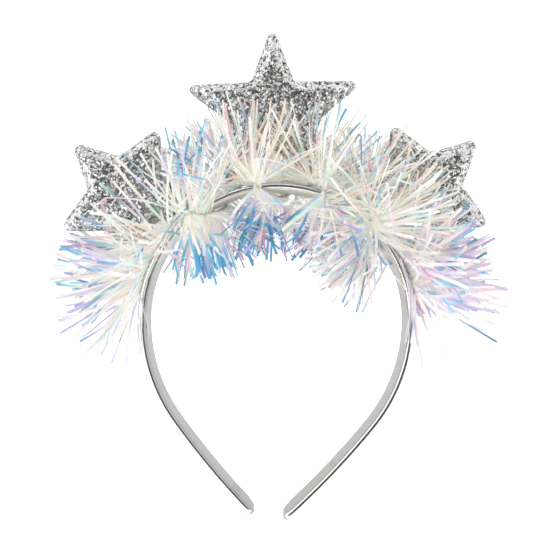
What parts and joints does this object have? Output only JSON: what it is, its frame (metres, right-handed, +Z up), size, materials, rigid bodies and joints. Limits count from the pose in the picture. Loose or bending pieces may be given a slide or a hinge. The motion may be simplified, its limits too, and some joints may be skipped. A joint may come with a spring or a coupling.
{
  "type": "star headband",
  "caption": "Springy covered head band with padded glitter stars standing along its crown and an iridescent tinsel garland wound round it, worn over the top of the head.",
  "frame": {"origin": "under the middle of the whole, on the surface that the headband lies on", "axes": "+Z up, out of the front of the headband; +Y in the plane of the loop, from its open end towards the crown and the middle star; +X to the right as seen from the front"},
  "size_m": [0.196, 0.2174, 0.0514],
  "materials": {
    "band_cover": "silver metallic leatherette",
    "lining": "grey satin ribbon",
    "glitter": "chunky silver glitter on cloth, padded",
    "tab": "plain stiff felt, hidden",
    "film": "iridescent pearl film"
  },
  "bodies": {
    "root": {"band": "band_cover", "band_lining": "lining", "star_center": "glitter", "star_left": "glitter", "star_right": "glitter", "star_post_center": "tab", "star_post_left": "tab", "star_post_right": "tab", "tinsel_garland": "film"}
  },
  "joints": []
}
